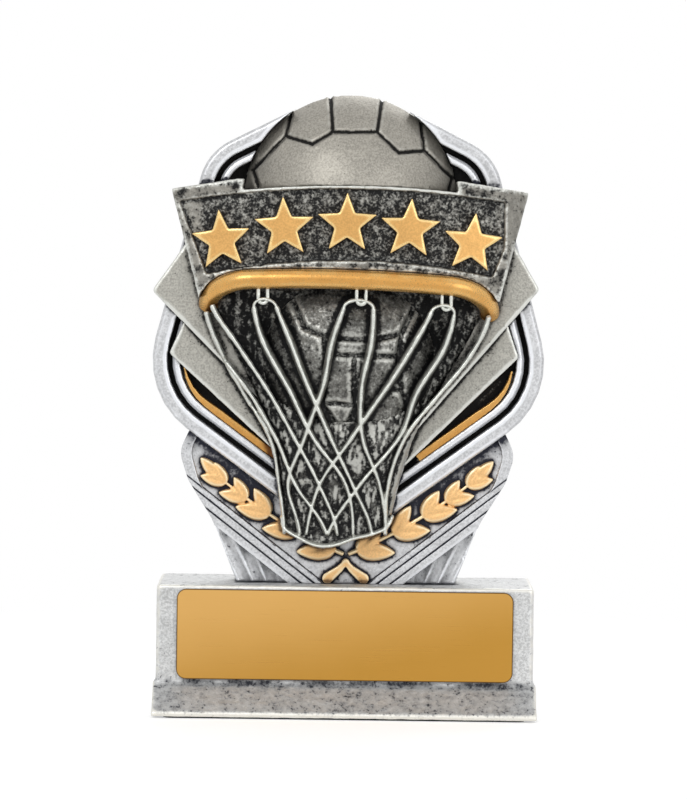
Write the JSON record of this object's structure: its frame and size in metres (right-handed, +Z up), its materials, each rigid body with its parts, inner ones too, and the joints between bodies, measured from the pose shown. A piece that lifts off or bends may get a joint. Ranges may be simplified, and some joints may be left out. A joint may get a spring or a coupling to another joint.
{
  "type": "trophy",
  "caption": "Cast relief netball trophy: ball, hoop and net on a framed diamond upright with a laurel shield, on a plinth with a blank engraving plate.",
  "frame": {"origin": "under the middle of the base, on the surface that the trophy stands on", "axes": "+Z up, -Y towards the front with the engraving plate, +X to the right as seen from the front"},
  "size_m": [0.0818, 0.036, 0.1295],
  "materials": {
    "bright_silver_paint": "satin metallic silver paint on cast resin, dark wash in the creases",
    "antique_silver_paint": "satin antique silver paint on cast resin, speckled",
    "dark_wash_paint": "black wash over antique silver, rough",
    "gold_paint": "satin metallic gold paint on cast resin",
    "gold_aluminium": "gold anodised, fine brushed",
    "white_tape": "foam tape edge",
    "dark_felt": "short felt"
  },
  "bodies": {
    "root": {"plinth": "bright_silver_paint", "felt_pad": "dark_felt", "plate_tape": "white_tape", "engraving_plate": "gold_aluminium", "upright_panel": "antique_silver_paint", "fluted_stem": "bright_silver_paint", "laurel_shield": "bright_silver_paint", "laurel_left": "gold_paint", "laurel_right": "gold_paint", "laurel_stalks": "gold_paint", "outer_frame": "bright_silver_paint", "inner_frame": "bright_silver_paint", "gold_stripe_left": "gold_paint", "gold_stripe_right": "gold_paint", "lower_plate": "antique_silver_paint", "upper_plate": "antique_silver_paint", "banner": "dark_wash_paint", "stars": "gold_paint", "ball": "antique_silver_paint", "hoop": "gold_paint", "net_ball": "dark_wash_paint", "net_core": "dark_wash_paint", "net": "antique_silver_paint", "net_ties": "antique_silver_paint"}
  },
  "joints": []
}
